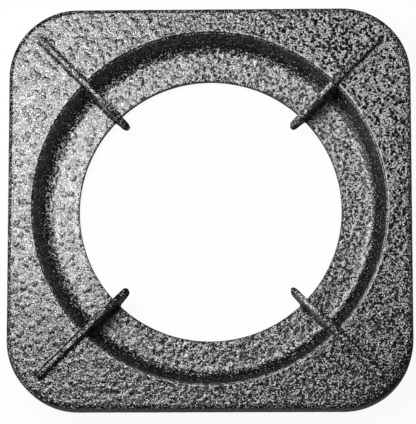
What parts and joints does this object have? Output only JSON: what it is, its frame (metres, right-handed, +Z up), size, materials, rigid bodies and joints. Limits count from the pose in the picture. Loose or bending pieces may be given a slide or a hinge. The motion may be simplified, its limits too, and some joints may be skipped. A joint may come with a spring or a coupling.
{
  "type": "cast iron wok ring",
  "caption": "Square enamelled cast iron plate with round corners, a dished round opening and diagonal ribs that hold a round-bottomed pan over a gas burner.",
  "frame": {"origin": "middle of the base plane, the plane that the lower edge of the skirt stands on, on the axis of the round hole", "axes": "+Z up, out of the dish; the flat sides of the plate face X and Y, so the ribs lie on the diagonals"},
  "size_m": [0.2408, 0.2408, 0.028],
  "materials": {
    "black_enamel": "glossy black vitreous enamel over a pebbled sand-cast surface"
  },
  "bodies": {
    "root": {"wok_ring": "black_enamel"}
  },
  "joints": []
}
